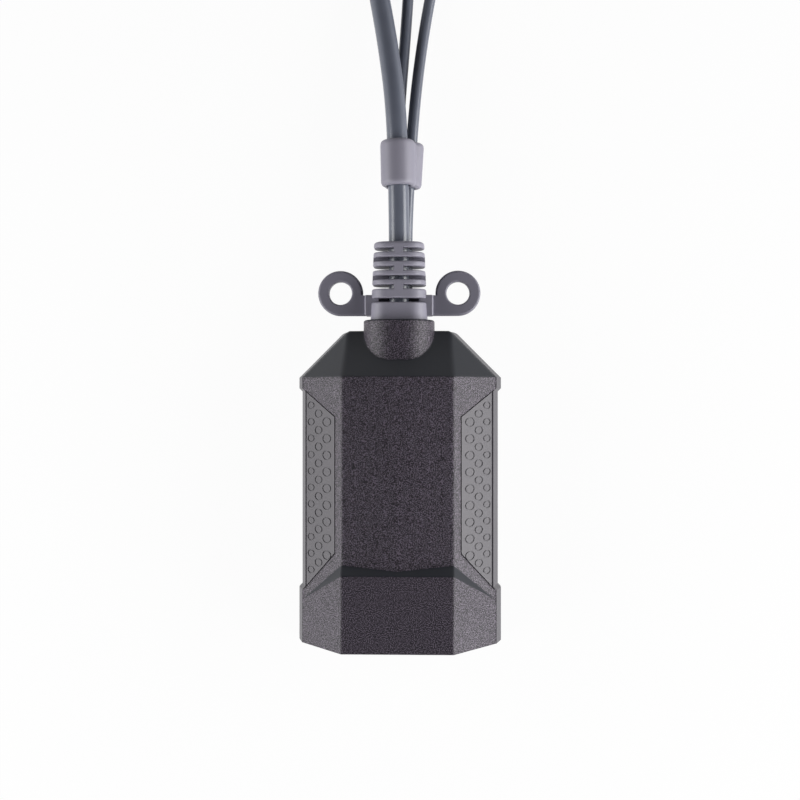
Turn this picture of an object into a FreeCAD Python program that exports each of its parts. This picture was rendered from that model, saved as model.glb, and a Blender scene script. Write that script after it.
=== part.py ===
import FreeCAD, Part
import math
import os

Vector = FreeCAD.Vector
Y_AXIS = Vector(0, 1, 0)
Z_AXIS = Vector(0, 0, 1)
SIDES = {"left": -1, "right": 1}

# Driving dimensions, in millimetres. The origin is the centre of the flat back,
# +Y points along the leads and +Z out of the front.

# Housing outline, at the parting plane
shoulder_half_width = 28.9
nose_end = 46.8
nose_start = 33.0
nose_half_width = 15.15
port_end = 46.8
port_end_taper = 0.6
grip_recess = 0.95
grip_recess_top = 29.8
grip_recess_bottom = -30.3

# Housing heights and facets
parting_height = 12.0
ridge_height = 26.0
crown_drop = 1.6
plateau_half_width = 16.25
plateau_rounding = 1.0
nose_rounding = 3.0
cap_height = 27.3
cap_start = -24.45
cap_step_run = 1.0
cap_wedge_end = -33.3
cap_overlap = 5.0
cap_rounding = 0.3

# Housing walls
roof_wall = 2.2
facet_wall = 3.2
end_wall = 2.2
tray_wall = 2.2
tray_floor = 2.0
tray_flare = 1.65
tray_flare_height = 5.0
tray_foot_chamfer = 1.2
parting_groove_depth = 0.5
parting_groove_height = 0.3

# Case screws and their posts
case_screw_half_spacing = 17.0
case_screw_rows = (27.0, -39.5)
case_post_radius = 3.2
case_boss_radius = 4.2
case_thread_radius = 1.1
case_thread_depth = 7.0
case_shank_hole_radius = 1.5
case_head_radius = 2.7
case_head_height = 1.8
case_head_recess = 0.5
case_head_gap = 0.2
case_drive_width = 0.7
case_drive_length = 2.9
case_drive_depth = 0.9

# Grips
grip_thickness = 1.6
grip_recess_below_facet = 0.1
grip_gap = 0.25
grip_inner_half_width = 18.5
grip_inner_top = 21.3
grip_inner_bottom = -18.3
grip_ledge = 0.45
ring_depth = 0.22
ring_width = 0.26
ring_pitch = 4.87
ring_row_middle = 0.35
# Distance from the middle plane and outer radius of each column's rings, and how many it has
ring_columns = ((26.0, 1.11), (23.55, 1.22), (20.9, 1.38))
ring_counts = (11, 10, 9)

# Cable collar and strain relief boot
cable_axis_height = 10.8
collar_width = 21.1
collar_corner_radius = 9.2
collar_inner_end = 36.0
collar_outer_end = 49.9
collar_rounding = 0.6
boot_tip = 73.1
boot_base_width = 16.9
boot_base_thickness = 14.4
boot_tip_width = 14.9
boot_tip_thickness = 12.6
boot_corner_radius = 5.0
boot_tip_rounding = 0.9
boot_clearance = 0.15
boot_flange_width = 20.6
boot_flange_thickness = 16.4
boot_flange_length = 2.5
rib_rounding = 0.45
slot_width = 1.2
slot_bridge = 2.7
slot_first = 2.5
slot_pitch = 2.73
even_slots = 5
last_slot_gap = 3.95
eyelet_half_spacing = 17.5
eyelet_position = 58.05
eyelet_radius = 6.7
eyelet_hole_radius = 3.42
eyelet_thickness = 3.4
eyelet_rounding = 0.5
eyelet_rim_rounding = 0.7
web_thickness = 6.4
web_top = 57.4
web_start = 6.0
web_reach = 10.2
web_rounding = 0.5

# Leads
video_lead_radius = 3.1
usb_lead_radius = 1.7
lead_clearance = 0.05
lead_gap = 0.02
video_lead_height = 11.9
# Place across of each thin lead, which lies against the underside of the video lead
usb_lead_places = {"usb_lead_a": -1.25, "usb_lead_b": 2.2}
lead_first_run = 8.0
lead_last_run = 12.6
jacket_end = 31.0
tail_radius = 1.5
sleeve_start = 89.9
sleeve_length = 13.8
sleeve_wall = 2.1
sleeve_rounding = 1.2
sleeve_clearance = 0.2

# Plugs: place of each plug's axis and back end
video_plug_place = Vector(-21.0, 230.0, 5.25)
usb_plug_places = {"a": Vector(0.9, 234.0, 4.1), "b": Vector(19.8, 226.0, 4.1)}
plug_neck_length = 8.0
plug_neck_wall = 1.6
plug_neck_end_wall = 0.8
plug_corner_radius = 2.2
plug_shell_wall = 0.35
plug_core_clearance = 0.05
video_grip_width = 20.0
video_grip_length = 25.0
video_shell_width = 13.9
video_shell_height = 4.45
video_shell_chamfer = 1.6
video_shell_reach = 11.8
video_slot_width = 11.2
video_slot_height = 1.9
usb_grip_width = 15.6
usb_grip_length = 23.0
usb_shell_width = 12.0
usb_shell_height = 4.5
usb_shell_reach = 12.2
usb_tongue_height = 1.9
usb_window = 2.2
usb_window_spacing = 5.0
usb_window_setback = 5.0
plug_core_setback = 0.4
plug_core_base = 3.0

# Board and what sits on it
board_half_width = 22.5
board_top = 16.0
board_neck_half_width = 12.0
board_neck_start = -33.5
board_gap = 0.3
board_boss_height = 3.0
board_thickness = 1.6
board_screw_half_spacing = 19.5
board_screw_rows = (12.5, -30.0)
board_boss_radius = 2.6
board_hole_radius = 1.15
board_thread_radius = 0.95
board_thread_depth = 3.0
board_head_radius = 1.9
board_head_height = 1.3
screw_clearance = 0.05
jack_width = 16.2
jack_height = 13.2
jack_depth = 21.4
jack_setback = 0.4
jack_gap = 0.3
socket_width = 11.9
socket_height = 7.0
socket_depth = 13.5
socket_bottom = 3.4
latch_width = 6.2
latch_height = 1.8
contact_count = 8
contact_pitch = 1.02
contact_width = 0.45
contact_height = 1.9
contact_depth = 7.0
jack_light_width = 2.6
jack_light_height = 1.8
jack_light_depth = 6.0
jack_light_top_gap = 0.9
jack_light_half_spacing = 4.45
chip_size = 15.0
chip_height = 1.5
chip_place = (0.0, -11.5)
thermal_pad_size = 13.0
thermal_pad_height = 0.8
sink_size = 20.0
sink_base = 1.6
sink_height = 7.0
sink_fins = 7
sink_fin_width = 1.1
header_width = 8.0
header_depth = 5.0
header_height = 5.4
crimp_width = 7.2
crimp_depth = 6.2
crimp_height = 5.0
crimp_back = 12.0
tail_straight_end = 8.0
# Place across of each crimp housing, and where its tail starts to bend
tail_places = {"video_lead": (-8.2, 28.0), "usb_lead_a": (0.0, 26.0), "usb_lead_b": (8.2, 28.0)}
# Place across, place along, width, length and height of each small part on the board
small_parts = {
    "memory_chips": ((-16.5, -6.0, 8.0, 10.5, 1.1), (-16.5, -19.0, 8.0, 10.5, 1.1)),
    "flash_chip": ((16.5, -21.0, 6.0, 8.0, 1.7),),
    "video_receiver": ((15.6, -8.0, 9.0, 9.0, 1.0),),
    "usb_hub_chip": ((14.9, 8.5, 5.0, 5.0, 0.9),),
    "crystals": ((-14.5, 3.5, 3.2, 2.5, 0.8), (-14.5, 7.5, 3.2, 2.5, 0.8)),
    "inductors": ((20.0, 3.5, 3.6, 3.6, 2.2), (20.0, 8.0, 3.6, 3.6, 2.2)),
}
capacitor_radius = 2.0
capacitor_height = 5.4
capacitor_places = ((-19.5, 4.0), (-19.5, 8.4))

# A length longer than the part, for cutting tools, and the block that facets are cut from
far = 400.0
block_reach = 100.0
recess_reach = 10.0

# Share of the shorter run that an arc of a lead takes up, and the match of two lengths
arc_share = 0.45
tolerance = 0.01

# Worked-out places
plateau_edge_height = ridge_height - crown_drop
grip_half_width = shoulder_half_width - grip_recess
board_bottom = tray_floor + board_boss_height
board_face = board_bottom + board_thickness
jack_front = jack_setback - port_end
main_end = cap_wedge_end - cap_overlap
socket_floor = board_face + socket_bottom
crimp_middle = board_face + crimp_height / 2
screw_seat = case_head_recess + case_head_height
lead_radii = {"video_lead": video_lead_radius}
lead_radii.update({name: usb_lead_radius for name in usb_lead_places})


def box(x_range, y_range, z_range):
    """A box between the given limits along each axis."""
    low = Vector(x_range[0], y_range[0], z_range[0])
    return Part.makeBox(
        x_range[1] - x_range[0], y_range[1] - y_range[0], z_range[1] - z_range[0], low
    )


def centred_box(middle, width, length, bottom, height):
    """A box on a level, centred on a place in plan."""
    return box(
        (middle[0] - width / 2, middle[0] + width / 2),
        (middle[1] - length / 2, middle[1] + length / 2),
        (bottom, bottom + height),
    )


def fuse(shapes):
    """One solid from several, with the seams between flush faces removed."""
    return shapes[0].multiFuse(list(shapes[1:])).removeSplitter()


def group(shapes):
    """Separate like solids that share one node."""
    return Part.makeCompound(list(shapes))


def mirrored(outline):
    """A closed outline from its right-hand half, listed from the port end to the nose."""
    return outline + [(-x, y) for x, y in reversed(outline)]


def spread(outline, distance):
    """An outline with its right and left halves moved apart."""
    return [(x + math.copysign(distance, x), y) for x, y in outline]


def inset(outline, distance):
    """A counter-clockwise outline with every side moved inwards."""
    moved = []
    count = len(outline)
    for index, (x, y) in enumerate(outline):
        before = Vector(x - outline[index - 1][0], y - outline[index - 1][1], 0).normalize()
        after_x, after_y = outline[(index + 1) % count]
        after = Vector(after_x - x, after_y - y, 0).normalize()
        first, second = Z_AXIS.cross(before), Z_AXIS.cross(after)
        shift = (first + second) * (distance / (1 + first.dot(second)))
        moved.append((x + shift.x, y + shift.y))
    return moved


def polygon(points):
    """A flat face from its corners."""
    return Part.Face(Part.makePolygon(points + points[:1]))


def level(outline, height):
    """An outline's corners at a height."""
    return [Vector(x, y, height) for x, y in outline]


def prism(outline, bottom, top):
    """An outline extruded upwards."""
    return polygon(level(outline, bottom)).extrude(Z_AXIS * (top - bottom))


def stacked(levels):
    """A solid with flat sides through outlines of like corners at rising heights."""
    rings = [level(outline, height) for outline, height in levels]
    faces = [polygon(rings[0][::-1]), polygon(rings[-1])]
    for lower, upper in zip(rings, rings[1:]):
        for index in range(len(lower)):
            following = (index + 1) % len(lower)
            faces.append(polygon([lower[index], lower[following], upper[following], upper[index]]))
    shell = Part.Shell(faces)
    shell.sewShape()
    return Part.Solid(shell)


def half_space(point, normal):
    """Everything on the outer side of a plane, as a large box."""
    tool = Part.makeBox(2 * far, 2 * far, far, Vector(-far, -far, 0))
    tool.Placement = FreeCAD.Placement(point, FreeCAD.Rotation(Z_AXIS, normal))
    return tool


class Facet:
    """A flat outer face through three points, with the wall behind it."""

    def __init__(self, points, inside, wall):
        first, second, third = [Vector(*point) for point in points]
        self.point = first
        self.normal = (second - first).cross(third - first).normalize()
        if self.normal.dot(inside - first) > 0:
            self.normal = self.normal * -1
        self.wall = wall

    def outside(self, depth=0.0):
        """The space outside this face, or outside a plane at a depth behind it."""
        return half_space(self.point - self.normal * depth, self.normal)


def block(facets, hollow=False):
    """The solid inside all facets, or the hollow that their walls leave."""
    reach = (-block_reach, block_reach)
    solid = box(reach, reach, reach)
    for facet in facets:
        solid = solid.cut(facet.outside(facet.wall if hollow else 0.0))
    return solid


def end_facets(side, inside):
    """The port end's flat middle and its slightly tapered side."""
    corner = (side * plateau_half_width, -port_end)
    outer = (side * shoulder_half_width, port_end_taper - port_end)
    middle = [(0, -port_end, 0), (1, -port_end, 0), (0, -port_end, 1)]
    tapered = [corner + (0,), outer + (0,), corner + (1,)]
    return [Facet(middle, inside, end_wall), Facet(tapered, inside, end_wall)]


def parting_facet(inside):
    """The cover's open lower side, whose hollow runs past it."""
    points = [(0, 0, parting_height), (1, 0, parting_height), (0, 1, parting_height)]
    return Facet(points, inside, -parting_height)


def side_facet(side, inside):
    """The long sloping face that carries a grip."""
    edge = side * plateau_half_width
    points = [
        (edge, nose_start, plateau_edge_height),
        (edge, -port_end, plateau_edge_height),
        (side * shoulder_half_width, nose_start, parting_height),
    ]
    return Facet(points, inside, facet_wall)


def main_facets():
    """The faces of the cover's main body, which ends inside the cap."""
    inside = Vector(0, 0, parting_height + roof_wall)
    facets = [parting_facet(inside)]
    for end in (nose_end, main_end):
        facets.append(Facet([(0, end, 0), (1, end, 0), (0, end, 1)], inside, end_wall))
    for side in SIDES.values():
        ridge = (0, nose_start, ridge_height)
        shoulder = (side * plateau_half_width, nose_start, plateau_edge_height)
        nose_corner = (side * nose_half_width, nose_end, parting_height)
        outer = (side * shoulder_half_width, nose_start, parting_height)
        roof_back = (0, -port_end, ridge_height)
        facets.append(Facet([ridge, shoulder, roof_back], inside, roof_wall))
        facets.append(side_facet(side, inside))
        facets.append(Facet([ridge, shoulder, nose_corner], inside, roof_wall))
        facets.append(Facet([shoulder, nose_corner, outer], inside, end_wall))
    return facets


def main_body():
    """The cover's main body, with its nose and its long upper edges rounded."""
    solid = block(main_facets())
    crease_across = (plateau_half_width + nose_half_width) / 2
    crease_along = (nose_start + nose_end) / 2
    creases = [
        edge for edge in solid.Edges
        if abs(abs(edge.CenterOfMass.x) - crease_across) < tolerance
        and abs(edge.CenterOfMass.y - crease_along) < tolerance
    ]
    solid = solid.makeFillet(nose_rounding, creases)
    edges = [
        edge for edge in solid.Edges
        if abs(abs(edge.CenterOfMass.x) - plateau_half_width) < tolerance
        and abs(edge.CenterOfMass.z - plateau_edge_height) < tolerance
    ]
    return solid.makeFillet(plateau_rounding, edges)


def cap_body():
    """The raised cap, with its edges above the parting plane rounded."""
    solid = block(cap_facets())
    edges = [edge for edge in solid.Edges if edge.BoundBox.ZMax > parting_height + tolerance]
    return solid.makeFillet(cap_rounding, edges)


def cap_facets():
    """The faces of the raised cap at the port end."""
    inside = Vector(0, cap_wedge_end, parting_height + roof_wall)
    step_foot = cap_start + (cap_height - plateau_edge_height) * cap_step_run
    top = [(0, cap_start, cap_height), (1, cap_start, cap_height), (0, -port_end, cap_height)]
    step = [(0, cap_start, cap_height), (1, cap_start, cap_height), (0, step_foot, plateau_edge_height)]
    facets = [parting_facet(inside), Facet(top, inside, roof_wall), Facet(step, inside, roof_wall)]
    for side in SIDES.values():
        edge = side * plateau_half_width
        outer = side * shoulder_half_width
        corner = (edge, cap_start, cap_height)
        flank = [corner, (edge, -port_end, cap_height), (outer, cap_start, parting_height)]
        wedge = [corner, (edge, step_foot, plateau_edge_height), (outer, cap_wedge_end, parting_height)]
        facets.append(Facet(flank, inside, facet_wall))
        facets.append(Facet(wedge, inside, roof_wall))
        facets += end_facets(side, inside)
    return facets


def housing_outline():
    """The housing's outline at the parting plane, counter-clockwise."""
    return mirrored([
        (plateau_half_width, -port_end),
        (shoulder_half_width, port_end_taper - port_end),
        (shoulder_half_width, grip_recess_bottom),
        (grip_half_width, grip_recess_bottom + grip_recess),
        (grip_half_width, grip_recess_top - grip_recess),
        (shoulder_half_width, grip_recess_top),
        (shoulder_half_width, nose_start),
        (nose_half_width, nose_end),
    ])


def flipped(outline, side):
    """A right-hand outline, or its mirror image on the left, kept counter-clockwise."""
    if side > 0:
        return outline
    return [(-x, y) for x, y in reversed(outline)]


def rounded_wire(width, height, radius, position):
    """A rounded rectangle across the cable's axis, at a position along it."""
    half_width, half_height = width / 2, height / 2
    diagonal = radius * (1 - math.sqrt(0.5))
    edges = []
    corners = [(1, 1), (-1, 1), (-1, -1), (1, -1)]

    def place(x, z):
        return Vector(x, position, cable_axis_height + z)

    ends = []
    for across, up in corners:
        along_side = place(across * half_width, up * (half_height - radius))
        along_top = place(across * (half_width - radius), up * half_height)
        middle = place(across * (half_width - diagonal), up * (half_height - diagonal))
        first, last = (along_side, along_top) if across * up > 0 else (along_top, along_side)
        ends.append((first, last))
        edges.append(Part.Arc(first, middle, last).toShape())
    for index, (_, last) in enumerate(ends):
        following = ends[(index + 1) % len(ends)][0]
        edges.insert(2 * index + 1, Part.LineSegment(last, following).toShape())
    return Part.Wire(edges)


def rounded_bar(width, height, radius, start, end):
    """A bar of rounded rectangular section along the cable's axis."""
    face = Part.Face(rounded_wire(width, height, radius, start))
    return face.extrude(Y_AXIS * (end - start))


def boot_neck(clearance, start, end):
    """The boot's straight neck, or the hole that it sits in."""
    return rounded_bar(
        boot_base_width + 2 * clearance,
        boot_base_thickness + 2 * clearance,
        boot_corner_radius + clearance,
        start,
        end,
    )


def path_of(route):
    """Straight runs joined by tangent arcs as large as the runs allow, and the arcs' radii."""
    edges, radii = [], []
    start = route[0]
    for before, corner, after in zip(route, route[1:], route[2:]):
        arriving = (corner - before).normalize()
        leaving = (after - corner).normalize()
        half_turn = arriving.getAngle(leaving) / 2
        cut = arc_share * min((corner - before).Length, (after - corner).Length)
        radius = cut / math.tan(half_turn)
        inwards = (leaving - arriving).normalize()
        middle = corner + inwards * (radius / math.cos(half_turn) - radius)
        arc_start, arc_end = corner - arriving * cut, corner + leaving * cut
        edges.append(Part.LineSegment(start, arc_start).toShape())
        edges.append(Part.Arc(arc_start, middle, arc_end).toShape())
        start = arc_end
        radii.append(radius)
    edges.append(Part.LineSegment(start, route[-1]).toShape())
    return Part.Wire(edges), radii


def tube(route, radius):
    """A round lead along a route."""
    path, radii = path_of(route)
    circle = Part.Wire(Part.makeCircle(radius, route[0], route[1] - route[0]))
    solid = path.makePipe(Part.Face(circle))
    ratio = solid.Volume / (math.pi * radius ** 2 * path.Length)
    rounded = [round(value, 1) for value in radii]
    print(f"tube length {path.Length:.1f} volume ratio {ratio:.4f} radii {rounded}")
    return solid


def lead_entries():
    """Place across and height of each lead in the boot."""
    reach = video_lead_radius + usb_lead_radius + lead_gap
    entries = {"video_lead": (0.0, video_lead_height)}
    for name, across in usb_lead_places.items():
        entries[name] = (across, video_lead_height - math.sqrt(reach ** 2 - across ** 2))
    return entries


def lead_routes():
    """The points of each lead, from the boot's tip to the back of its plug."""
    middles = {
        "video_lead": [
            (-0.7, 112.0, 11.0), (-3.6, 134.0, 6.6), (-7.4, 155.0, 3.1),
            (-12.8, 176.0, 3.1), (-18.6, 198.0, 3.3),
        ],
        "usb_lead_a": [
            (-0.3, 112.0, 5.6), (1.4, 134.0, 2.6), (2.8, 155.0, 1.7),
            (3.3, 177.0, 1.7), (2.5, 200.0, 1.9),
        ],
        "usb_lead_b": [
            (4.1, 112.0, 6.4), (6.4, 133.0, 3.2), (9.8, 153.0, 1.7),
            (14.2, 173.0, 1.7), (18.2, 194.0, 1.8),
        ],
    }
    plugs = {
        "video_lead": video_plug_place,
        "usb_lead_a": usb_plug_places["a"],
        "usb_lead_b": usb_plug_places["b"],
    }
    routes = {}
    for name, (x, z) in lead_entries().items():
        entry = Vector(x, boot_tip, z)
        start = [entry, entry + Y_AXIS * lead_first_run]
        end = [plugs[name] - Y_AXIS * lead_last_run, plugs[name]]
        routes[name] = start + [Vector(*point) for point in middles[name]] + end
    return routes


def upper_housing():
    """The cover: faceted shell, screw posts, collar half, grip pockets and jack opening."""
    solid = fuse([main_body(), cap_body()])
    for side in SIDES.values():
        solid = solid.cut(grip_recess_space(side))
    full = solid
    solid = solid.cut(fuse([block(main_facets(), True), block(cap_facets(), True)]))
    posts = [
        Part.makeCylinder(case_post_radius, cap_height, Vector(x, y, parting_height)).common(full)
        for x, y in case_screw_places()
    ]
    solid = fuse([solid, collar().common(half_space(Vector(0, 0, parting_height), Z_AXIS))] + posts)
    for x, y in case_screw_places():
        hole = Vector(x, y, parting_height)
        solid = solid.cut(Part.makeCylinder(case_thread_radius + screw_clearance, case_thread_depth, hole))
    for side in SIDES.values():
        solid = solid.cut(grip_space(side, grip_gap, 0.0))
    solid = solid.cut(boot_neck(boot_clearance, collar_inner_end, collar_outer_end))
    return solid.cut(jack_opening())


def lower_housing():
    """The tray: leaning walls, screw bosses, collar half and jack opening."""
    outline = housing_outline()
    wide = spread(outline, tray_flare)
    solid = stacked([
        (inset(wide, tray_foot_chamfer), 0.0),
        (wide, tray_foot_chamfer),
        (wide, tray_flare_height),
        (outline, parting_height),
    ])
    corners = [
        edge for edge in solid.Edges
        if edge.BoundBox.ZLength > tolerance and edge.CenterOfMass.y > nose_end - tray_foot_chamfer
    ]
    solid = solid.makeFillet(nose_rounding, corners)
    solid = solid.cut(prism(inset(outline, tray_wall), tray_floor, parting_height))
    groove = prism(inset(outline, -tray_flare), parting_height - parting_groove_height, parting_height)
    solid = solid.cut(groove.cut(prism(inset(outline, parting_groove_depth), 0.0, parting_height)))
    bosses = [
        Part.makeCylinder(case_boss_radius, parting_height - tray_floor, Vector(x, y, tray_floor))
        for x, y in case_screw_places()
    ]
    bosses += [
        Part.makeCylinder(board_boss_radius, board_boss_height, Vector(x, y, tray_floor))
        for x, y in board_screw_places()
    ]
    solid = fuse([solid, collar().cut(half_space(Vector(0, 0, parting_height), Z_AXIS))] + bosses)
    for x, y in case_screw_places():
        solid = solid.cut(Part.makeCylinder(case_shank_hole_radius, parting_height, Vector(x, y, 0)))
        solid = solid.cut(Part.makeCylinder(case_head_radius + case_head_gap, screw_seat, Vector(x, y, 0)))
    for x, y in board_screw_places():
        hole = Vector(x, y, board_bottom - board_thread_depth)
        radius = board_thread_radius + screw_clearance
        solid = solid.cut(Part.makeCylinder(radius, board_thread_depth, hole))
    solid = solid.cut(boot_neck(boot_clearance, collar_inner_end, collar_outer_end))
    return solid.cut(jack_opening())


def collar():
    """The rounded collar that holds the boot, for both halves of the housing."""
    solid = rounded_bar(
        collar_width, collar_width, collar_corner_radius, collar_inner_end, collar_outer_end
    )
    return solid.makeFillet(collar_rounding, rim_at(solid, collar_outer_end))


def jack_opening():
    """The hole in the port end for the network jack."""
    half = jack_width / 2 + jack_gap
    return box(
        (-half, half),
        (-port_end - jack_gap, end_wall + jack_gap - port_end),
        (board_face - jack_gap, board_face + jack_height + jack_gap),
    )


def case_screw_places():
    """The four case screws in plan."""
    return [(side * case_screw_half_spacing, row) for row in case_screw_rows for side in SIDES.values()]


def board_screw_places():
    """The four board screws in plan."""
    return [(side * board_screw_half_spacing, row) for row in board_screw_rows for side in SIDES.values()]


def grip_recess_space(side):
    """What is cut off the cover's outer edge beside a grip."""
    outer = shoulder_half_width + recess_reach
    outline = [
        (grip_half_width, grip_recess_bottom + grip_recess),
        (outer, grip_recess_bottom - recess_reach),
        (outer, grip_recess_top + recess_reach),
        (grip_half_width, grip_recess_top - grip_recess),
    ]
    return prism(flipped(outline, side), 0.0, far)


def grip_space(side, gap, below):
    """A grip's plate, or with a gap the pocket that it sits in."""
    facet = side_facet(side, Vector(0, 0, parting_height))
    outline = [
        (grip_half_width, grip_recess_bottom + grip_recess),
        (grip_half_width, grip_recess_top - grip_recess),
        (grip_inner_half_width, grip_inner_top),
        (grip_inner_half_width, grip_inner_bottom),
    ]
    plate = prism(inset(flipped(outline, side), -gap), parting_height + grip_gap - gap, far)
    return plate.common(facet.outside(grip_thickness)).cut(facet.outside(below))


def grip(side):
    """A grip insert with its columns of pressed rings, set back from the tray's edge by a ledge."""
    facet = side_facet(side, Vector(0, 0, parting_height))
    layer = facet.outside(grip_recess_below_facet + ring_depth)
    edge = grip_half_width - grip_ledge
    plate = grip_space(side, 0.0, grip_recess_below_facet)
    plate = plate.common(box((-edge, edge), (-port_end, nose_end), (0.0, cap_height)))
    rings = []
    for (across, radius), count in zip(ring_columns, ring_counts):
        for index in range(count):
            y = ring_row_middle + (index - (count - 1) / 2) * ring_pitch
            foot = Vector(side * across, y, parting_height)
            inner = Part.makeCylinder(radius - ring_width, cap_height, foot)
            rings.append(Part.makeCylinder(radius, cap_height, foot).cut(inner))
    return plate.cut(group(rings).common(layer))


def strain_relief_boot():
    """The ribbed boot with its inner flange, two side webs and eyelets."""
    flange_start = collar_inner_end - boot_flange_length
    flange = rounded_bar(
        boot_flange_width, boot_flange_thickness, boot_corner_radius, flange_start, collar_inner_end
    )
    neck = boot_neck(0.0, collar_inner_end, collar_outer_end)
    sides = [eyelet(), eyelet().mirror(Vector(0, 0, 0), Vector(1, 0, 0))]
    solid = fuse([flange, neck] + boot_ribs() + boot_bridges() + sides)
    length = boot_tip - flange_start
    axes = {name: Vector(x, flange_start, z) for name, (x, z) in lead_entries().items()}
    for name, start in axes.items():
        solid = solid.cut(Part.makeCylinder(lead_radii[name] + lead_clearance, length, start, Y_AXIS))
    between = polygon(list(axes.values())).extrude(Y_AXIS * length)
    return solid.cut(between)


def boot_section(position):
    """The boot's outline at a position along the cable, narrower towards its tip."""
    share = (position - collar_outer_end) / (boot_tip - collar_outer_end)
    width = boot_base_width + share * (boot_tip_width - boot_base_width)
    thickness = boot_base_thickness + share * (boot_tip_thickness - boot_base_thickness)
    return rounded_wire(width, thickness, boot_corner_radius, position)


def boot_length(start, end):
    """A length of the tapered boot, with sharp rims."""
    return Part.makeLoft([boot_section(start), boot_section(end)], True, True)


def rim_at(solid, position):
    """The edges round a length of the boot at one of its ends."""
    return [edge for edge in solid.Edges if edge.BoundBox.YLength < tolerance
            and abs(edge.CenterOfMass.y - position) < tolerance]


def slot_places():
    """The middle of each slot along the cable, from the tip to the base."""
    places = [boot_tip - slot_first - index * slot_pitch for index in range(even_slots)]
    return places + [places[-1] - last_slot_gap]


def boot_ribs():
    """The ribs between the slots, with rounded rims."""
    ribs = []
    end, end_rounding = boot_tip, boot_tip_rounding
    for place in slot_places():
        start = place + slot_width / 2
        rib = boot_length(start, end)
        rib = rib.makeFillet(end_rounding, rim_at(rib, end))
        ribs.append(rib.makeFillet(rib_rounding, rim_at(rib, start)))
        end, end_rounding = place - slot_width / 2, rib_rounding
    base = boot_length(collar_outer_end, end)
    return ribs + [base.makeFillet(rib_rounding, rim_at(base, end))]


def boot_bridges():
    """The bars across the slots: at the front and back, or at the sides, by turns."""
    bridges = []
    reach = (-boot_base_width, boot_base_width)
    upright = (cable_axis_height - boot_base_width, cable_axis_height + boot_base_width)
    half = slot_bridge / 2
    for index, place in enumerate(slot_places()):
        start = place - slot_width / 2 - rib_rounding
        end = place + slot_width / 2 + rib_rounding
        if index % 2 == 0:
            bar = box((-half, half), (start, end), upright)
        else:
            bar = box(reach, (start, end), (cable_axis_height - half, cable_axis_height + half))
        bridges.append(boot_length(start, end).common(bar))
    return bridges


def eyelet():
    """The right-hand web with its flat round eyelet."""
    bottom = cable_axis_height - eyelet_thickness / 2
    foot = eyelet_position - eyelet_radius
    rise = web_top - eyelet_position
    join = eyelet_half_spacing - math.sqrt(eyelet_radius ** 2 - rise ** 2)
    middle_angle = (math.pi / 2 - math.asin(rise / eyelet_radius)) / 2
    round_middle = (
        eyelet_half_spacing + eyelet_radius * math.cos(middle_angle),
        eyelet_position + eyelet_radius * math.sin(middle_angle),
    )
    points = [
        (web_start, foot), (eyelet_half_spacing, foot), round_middle, (join, web_top), (web_start, web_top),
    ]
    first, arc_start, arc_middle, arc_end, last = level(points, bottom)
    outline = Part.Wire([
        Part.LineSegment(first, arc_start).toShape(),
        Part.Arc(arc_start, arc_middle, arc_end).toShape(),
        Part.LineSegment(arc_end, last).toShape(),
        Part.LineSegment(last, first).toShape(),
    ])
    plate = Part.Face(outline).extrude(Z_AXIS * eyelet_thickness)
    rims = [edge for edge in plate.Edges if isinstance(edge.Curve, Part.Circle)]
    plate = plate.makeFillet(eyelet_rim_rounding, rims)
    hole = Vector(eyelet_half_spacing, eyelet_position, bottom)
    plate = plate.cut(Part.makeCylinder(eyelet_hole_radius, eyelet_thickness, hole))
    rims = [
        edge for edge in plate.Edges
        if isinstance(edge.Curve, Part.Circle) and edge.isClosed()
        and abs(edge.Curve.Radius - eyelet_hole_radius) < tolerance
    ]
    plate = plate.makeFillet(eyelet_rounding, rims)
    web_bottom = cable_axis_height - web_thickness / 2
    web = box((web_start, web_reach), (foot, web_top), (web_bottom, web_bottom + web_thickness))
    outer = [edge for edge in web.Edges if edge.BoundBox.XMin > web_reach - tolerance]
    return fuse([plate, web.makeFillet(web_rounding, outer)])


def bundle_sleeve(routes):
    """The lobed sleeve, one rounded lobe round each lead."""
    lobes = []
    for name, route in routes.items():
        direction = (route[2] - route[1]).normalize()
        start = route[1] + direction * ((sleeve_start - route[1].y) / direction.y)
        lobe = Part.makeCylinder(lead_radii[name] + sleeve_wall, sleeve_length, start, direction)
        rims = [edge for edge in lobe.Edges if edge.isClosed() and isinstance(edge.Curve, Part.Circle)]
        lobes.append(lobe.makeFillet(sleeve_rounding, rims))
    solid = fuse(lobes)
    for name, route in routes.items():
        solid = solid.cut(tube(route[:4], lead_radii[name] + sleeve_clearance))
    return solid


def lead_tails():
    """The leads inside the boot, and their stripped wires down to the crimp housings."""
    tails = {}
    for name, (x, z) in lead_entries().items():
        across, bend_start = tail_places[name]
        target = Vector(across, crimp_back, crimp_middle)
        start = Vector(x, jacket_end, z)
        jacket = Part.makeCylinder(lead_radii[name], boot_tip - jacket_end, start, Y_AXIS)
        wires = tube([
            start,
            Vector(x, bend_start, z),
            target + Y_AXIS * tail_straight_end,
            target,
        ], tail_radius)
        tails[name + "_tail"] = fuse([jacket, wires])
    return tails


def along_plug(face_points, place, start, end):
    """A section given across the plug, extruded along it."""
    points = [Vector(place.x + x, place.y + start, place.z + z) for x, z in face_points]
    return polygon(points).extrude(Y_AXIS * (end - start))


def plug_grip(place, width, length, lead_radius):
    """A moulded plug body with a tapered neck at the back, round its lead's end."""
    height = 2 * place.z
    body = centred_box((place.x, place.y + plug_neck_length + length / 2), width, length, 0.0, height)
    long_edges = [edge for edge in body.Edges if edge.tangentAt(0).cross(Y_AXIS).Length < tolerance]
    body = body.makeFillet(plug_corner_radius, long_edges)
    thin, thick = lead_radius + plug_neck_end_wall, lead_radius + plug_neck_wall
    neck = Part.makeCone(thin, thick, plug_neck_length, place, Y_AXIS)
    return fuse([body, neck])


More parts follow.
